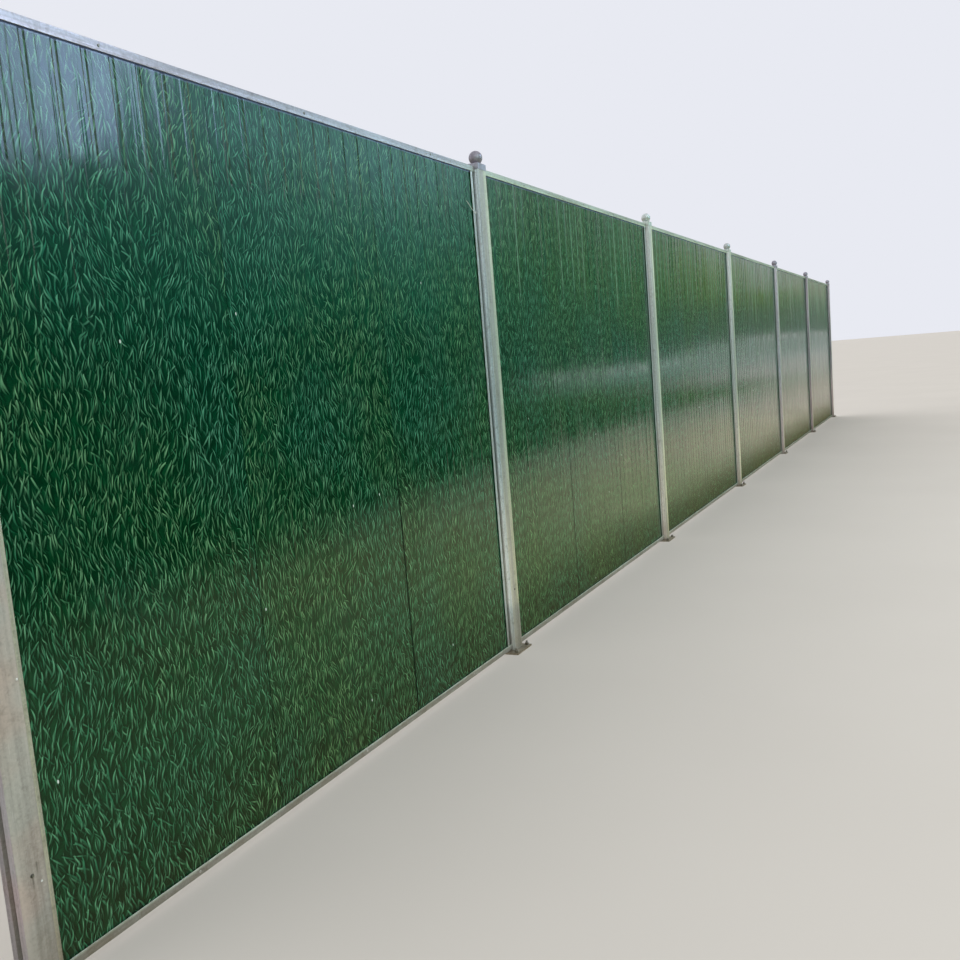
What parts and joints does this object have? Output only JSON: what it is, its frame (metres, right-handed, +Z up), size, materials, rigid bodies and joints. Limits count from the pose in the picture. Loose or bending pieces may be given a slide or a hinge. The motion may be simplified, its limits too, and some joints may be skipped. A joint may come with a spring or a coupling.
{
  "type": "steel street barricade",
  "caption": "Straight run of steel site hoarding in equal bays: slotted posts with ball caps and foot plates, channel frames and ribbed sheets with a printed grass pattern.",
  "frame": {"origin": "centre of the underside of the middle post's foot plate", "axes": "+X along the run, +Y across it and away from the street, +Z up"},
  "size_m": [18.18, 0.13, 2.6124],
  "materials": {
    "galvanised_post": "weathered galvanised",
    "galvanised_cap": "weathered galvanised",
    "galvanised_plate": "dusty galvanised",
    "galvanised_rail": "weathered galvanised",
    "galvanised_trim": "weathered galvanised",
    "printed_sheet": null
  },
  "bodies": {
    "root": {"foot_plate_1": "galvanised_plate", "post_1": "galvanised_post", "post_cap_1": "galvanised_cap", "foot_plate_2": "galvanised_plate", "post_2": "galvanised_post", "post_cap_2": "galvanised_cap", "foot_plate_3": "galvanised_plate", "post_3": "galvanised_post", "post_cap_3": "galvanised_cap", "foot_plate_4": "galvanised_plate", "post_4": "galvanised_post", "post_cap_4": "galvanised_cap", "foot_plate_5": "galvanised_plate", "post_5": "galvanised_post", "post_cap_5": "galvanised_cap", "foot_plate_6": "galvanised_plate", "post_6": "galvanised_post", "post_cap_6": "galvanised_cap", "foot_plate_7": "galvanised_plate", "post_7": "galvanised_post", "post_cap_7": "galvanised_cap", "bottom_rail_1": "galvanised_rail", "top_rail_1": "galvanised_rail", "side_trims_1": "galvanised_trim", "sheets_1": "printed_sheet", "bottom_rail_2": "galvanised_rail", "top_rail_2": "galvanised_rail", "side_trims_2": "galvanised_trim", "sheets_2": "printed_sheet", "bottom_rail_3": "galvanised_rail", "top_rail_3": "galvanised_rail", "side_trims_3": "galvanised_trim", "sheets_3": "printed_sheet", "bottom_rail_4": "galvanised_rail", "top_rail_4": "galvanised_rail", "side_trims_4": "galvanised_trim", "sheets_4": "printed_sheet", "bottom_rail_5": "galvanised_rail", "top_rail_5": "galvanised_rail", "side_trims_5": "galvanised_trim", "sheets_5": "printed_sheet", "bottom_rail_6": "galvanised_rail", "top_rail_6": "galvanised_rail", "side_trims_6": "galvanised_trim", "sheets_6": "printed_sheet"}
  },
  "joints": []
}
